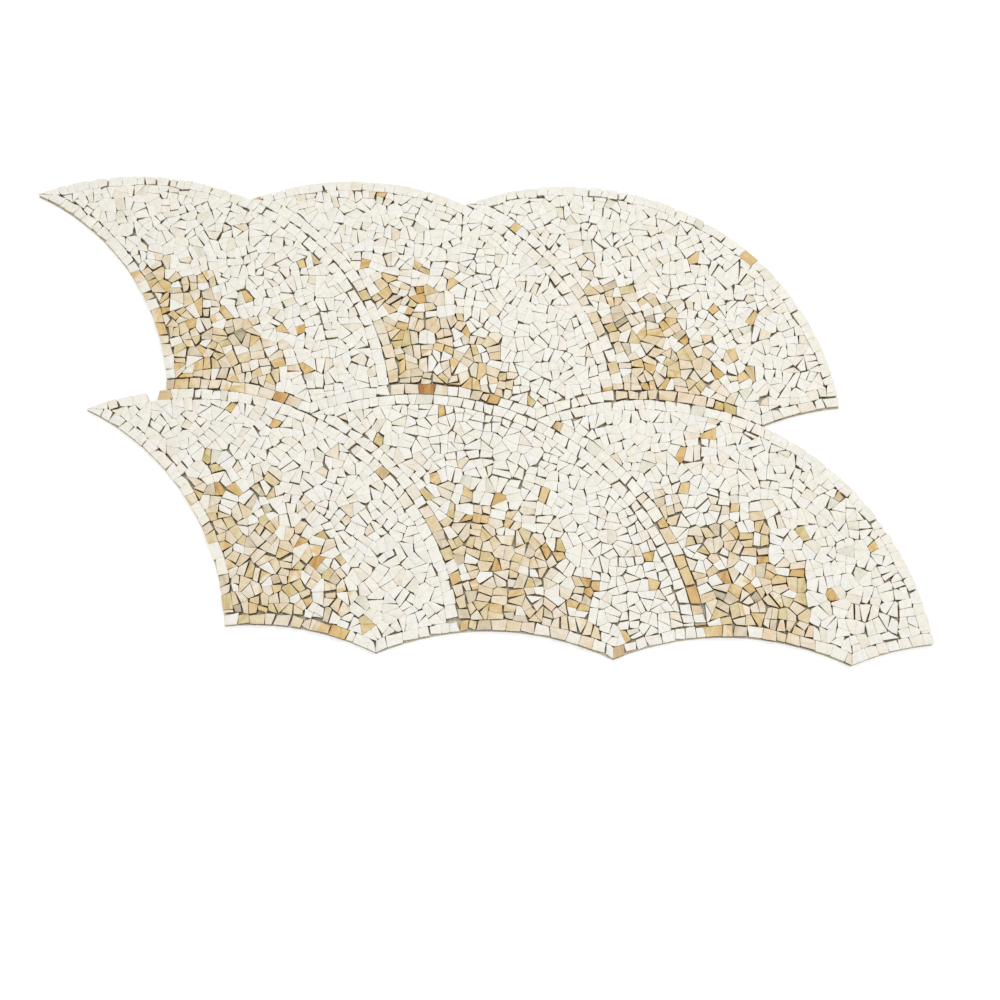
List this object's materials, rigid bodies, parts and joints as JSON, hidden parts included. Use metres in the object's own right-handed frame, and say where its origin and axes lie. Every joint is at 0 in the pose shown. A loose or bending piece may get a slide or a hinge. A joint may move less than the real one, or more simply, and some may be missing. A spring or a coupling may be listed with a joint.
{
  "type": "marble mosaic tile",
  "caption": "Fan-pattern mosaic sheet of hand-cut white and gold marble chips on a mesh backing, with curved interlocking edges, for facing walls and floors",
  "frame": {"origin": "middle of the sheet's box, on the back face of the mesh", "axes": "+X along a row of fans, +Y up the pattern towards the fans' top arcs, +Z out of the face of the stone"},
  "size_m": [1.0118, 0.553, 0.008],
  "materials": {
    "white_marble": "satin",
    "gold_marble": "satin",
    "glass_fibre_mesh": "matte"
  },
  "bodies": {
    "root": {"lower_left_gold_border": "gold_marble", "lower_left_gold_field": "gold_marble", "lower_left_white_border": "white_marble", "lower_left_white_field": "white_marble", "lower_middle_gold_border": "gold_marble", "lower_middle_gold_field": "gold_marble", "lower_middle_white_border": "white_marble", "lower_middle_white_field": "white_marble", "lower_right_gold_border": "gold_marble", "lower_right_gold_field": "gold_marble", "lower_right_white_border": "white_marble", "lower_right_white_field": "white_marble", "mesh_backing": "glass_fibre_mesh", "upper_left_gold_border": "gold_marble", "upper_left_gold_field": "gold_marble", "upper_left_white_border": "white_marble", "upper_left_white_field": "white_marble", "upper_middle_gold_border": "gold_marble", "upper_middle_gold_field": "gold_marble", "upper_middle_white_border": "white_marble", "upper_middle_white_field": "white_marble", "upper_right_gold_border": "gold_marble", "upper_right_gold_field": "gold_marble", "upper_right_white_border": "white_marble", "upper_right_white_field": "white_marble"}
  },
  "joints": []
}
